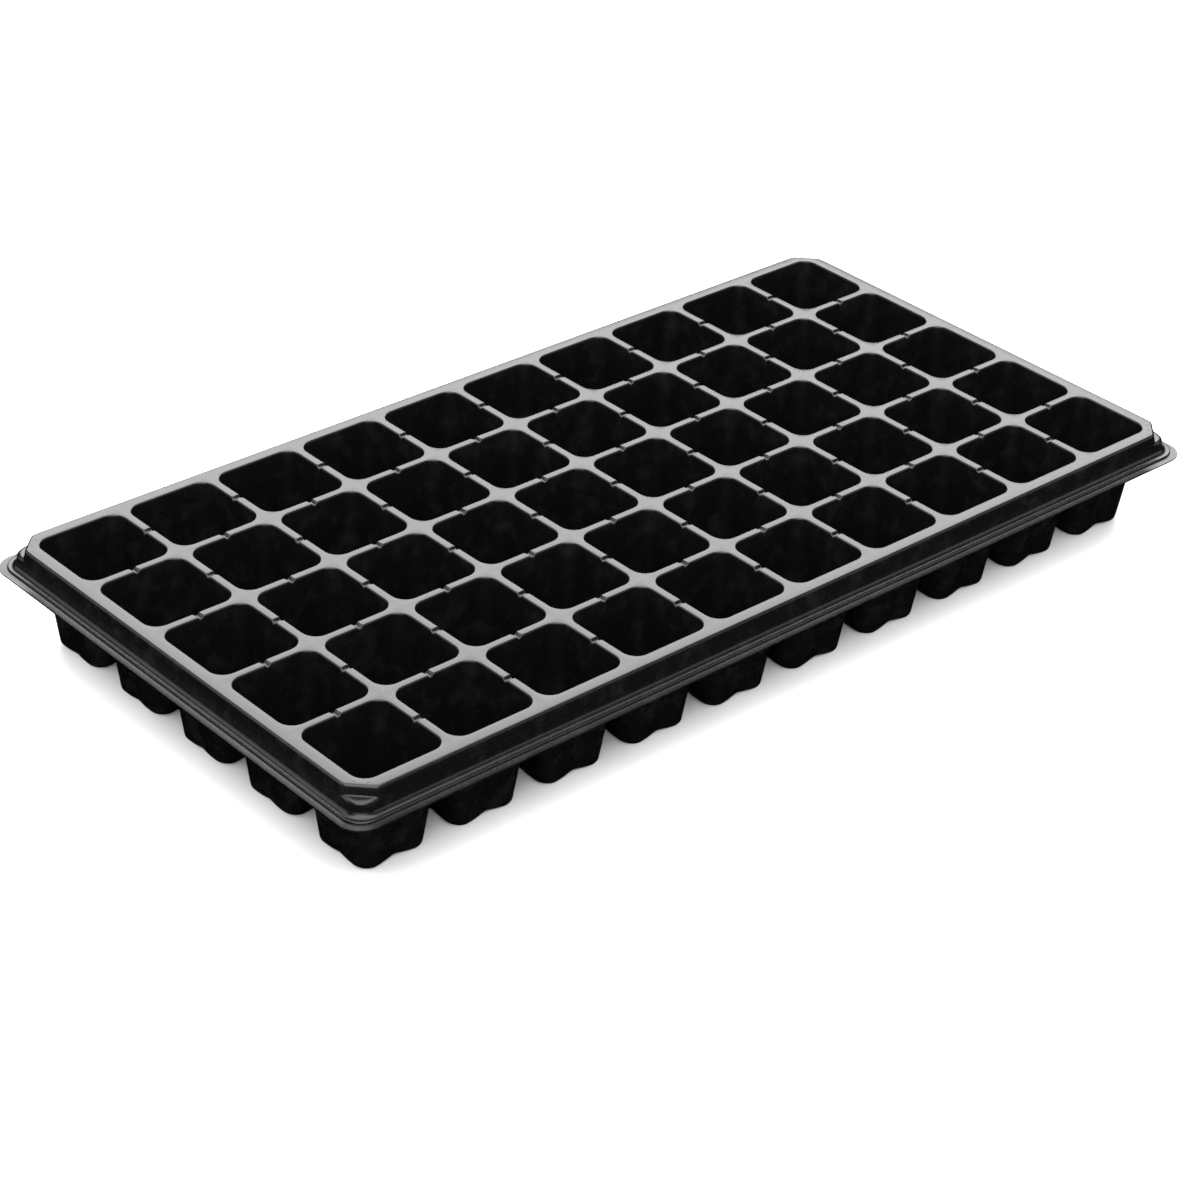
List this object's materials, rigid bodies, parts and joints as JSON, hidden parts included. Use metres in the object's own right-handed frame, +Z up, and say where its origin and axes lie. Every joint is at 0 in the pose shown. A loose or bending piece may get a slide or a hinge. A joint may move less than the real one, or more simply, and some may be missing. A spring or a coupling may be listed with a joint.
{
  "type": "plug tray",
  "caption": "Black 50-cell plug tray, 10 by 5 tapered cups in one thermoformed sheet, 540 by 280 by 54 mm, with a stacking flange.",
  "frame": {"origin": "on the bench under the middle of the tray, level with the undersides of the cup feet", "axes": "+X along the 540 mm length, +Y across the 280 mm width, +Z up out of the cups"},
  "size_m": [0.54, 0.28, 0.054],
  "materials": {
    "black_sheet": "satin black polystyrene sheet with a soft sheen"
  },
  "bodies": {
    "root": {"cell_a01": "black_sheet", "cell_a02": "black_sheet", "cell_a03": "black_sheet", "cell_a04": "black_sheet", "cell_a05": "black_sheet", "cell_a06": "black_sheet", "cell_a07": "black_sheet", "cell_a08": "black_sheet", "cell_a09": "black_sheet", "cell_a10": "black_sheet", "cell_b01": "black_sheet", "cell_b02": "black_sheet", "cell_b03": "black_sheet", "cell_b04": "black_sheet", "cell_b05": "black_sheet", "cell_b06": "black_sheet", "cell_b07": "black_sheet", "cell_b08": "black_sheet", "cell_b09": "black_sheet", "cell_b10": "black_sheet", "cell_c01": "black_sheet", "cell_c02": "black_sheet", "cell_c03": "black_sheet", "cell_c04": "black_sheet", "cell_c05": "black_sheet", "cell_c06": "black_sheet", "cell_c07": "black_sheet", "cell_c08": "black_sheet", "cell_c09": "black_sheet", "cell_c10": "black_sheet", "cell_d01": "black_sheet", "cell_d02": "black_sheet", "cell_d03": "black_sheet", "cell_d04": "black_sheet", "cell_d05": "black_sheet", "cell_d06": "black_sheet", "cell_d07": "black_sheet", "cell_d08": "black_sheet", "cell_d09": "black_sheet", "cell_d10": "black_sheet", "cell_e01": "black_sheet", "cell_e02": "black_sheet", "cell_e03": "black_sheet", "cell_e04": "black_sheet", "cell_e05": "black_sheet", "cell_e06": "black_sheet", "cell_e07": "black_sheet", "cell_e08": "black_sheet", "cell_e09": "black_sheet", "cell_e10": "black_sheet", "rim_front": "black_sheet", "rim_back": "black_sheet", "rim_left": "black_sheet", "rim_right": "black_sheet", "rim_corner_front_left": "black_sheet", "rim_corner_front_right": "black_sheet", "rim_corner_back_left": "black_sheet", "rim_corner_back_right": "black_sheet"}
  },
  "joints": []
}
